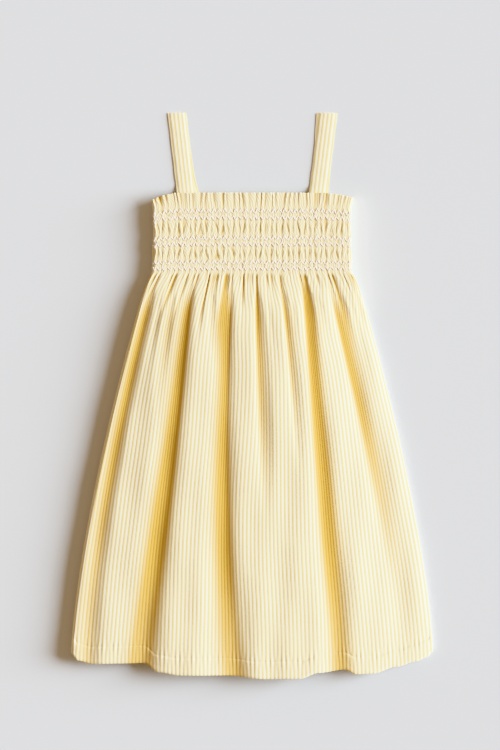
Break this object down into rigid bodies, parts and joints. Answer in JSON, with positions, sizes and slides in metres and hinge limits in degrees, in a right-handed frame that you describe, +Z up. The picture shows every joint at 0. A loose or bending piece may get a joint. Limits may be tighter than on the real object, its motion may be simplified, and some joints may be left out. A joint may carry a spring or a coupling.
{
  "type": "smocked dress",
  "caption": "Child's sleeveless sundress laid flat: smocked bodice under a pleated heading, gathered flared skirt, wide shoulder straps folded over at the top.",
  "frame": {"origin": "centre of the bounding box's base, on the surface that the dress lies on", "axes": "+Z up, out of the wearer's front; +Y from the hem towards the shoulder folds; +X to the right of the picture, which is the wearer's left"},
  "size_m": [0.384, 0.6, 0.02],
  "materials": {
    "panel_cloth": "yellow and white striped cotton seersucker",
    "strap_cloth": "the same seersucker, doubled"
  },
  "bodies": {
    "root": {"front_panel": "panel_cloth", "back_panel": "panel_cloth", "strap_left": "strap_cloth", "strap_right": "strap_cloth"}
  },
  "joints": []
}
